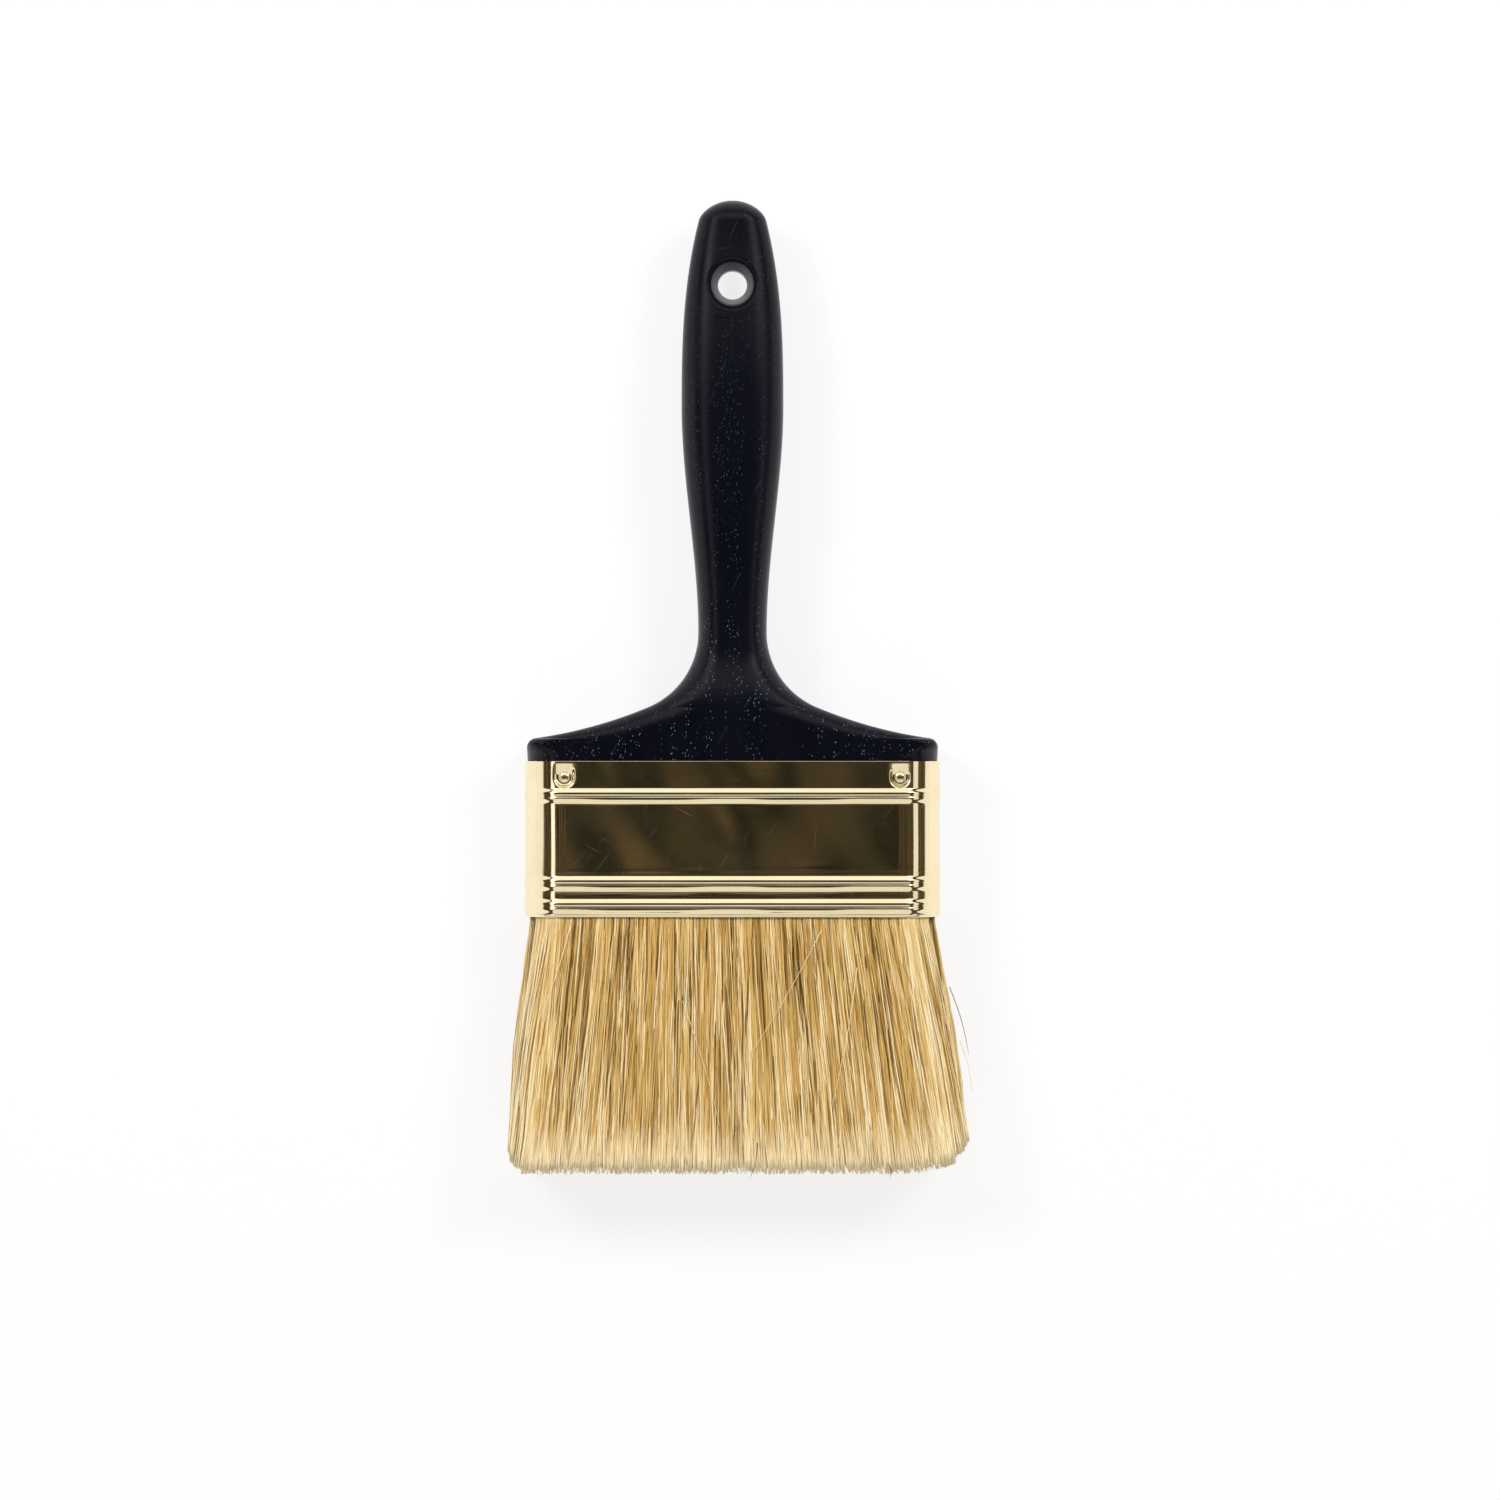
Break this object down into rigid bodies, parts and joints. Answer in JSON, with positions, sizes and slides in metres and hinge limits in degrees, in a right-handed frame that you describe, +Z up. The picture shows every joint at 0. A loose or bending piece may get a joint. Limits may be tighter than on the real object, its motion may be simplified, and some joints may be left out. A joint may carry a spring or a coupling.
{
  "type": "flat wall brush",
  "caption": "Flat paint or stain brush: black lacquered wooden beaver-tail handle with a hanging hole, beaded brass-plated ferrule nailed on, and tan bristle set in resin round spacer plugs.",
  "frame": {"origin": "under the middle of the brush, at the lowest point of the bristle tips as it lies on its back", "axes": "+Y along the brush from bristle tips to handle end, +Z up out of the front face, +X across the width"},
  "size_m": [0.1122, 0.2356, 0.025],
  "materials": {
    "lacquered_wood": "gloss",
    "plated_sheet": "polished",
    "plated_nail": "polished",
    "setting_resin": "satin",
    "plug_wood": "matte",
    "bristle": "satin"
  },
  "bodies": {
    "root": {"handle": "lacquered_wood", "ferrule": "plated_sheet", "nail_front_left": "plated_nail", "nail_front_right": "plated_nail", "nail_back_left": "plated_nail", "nail_back_right": "plated_nail", "setting_block": "setting_resin", "spacer_plug_front": "plug_wood", "spacer_plug_back": "plug_wood", "bristles_front": "bristle", "bristles_middle": "bristle", "bristles_back": "bristle"}
  },
  "joints": []
}
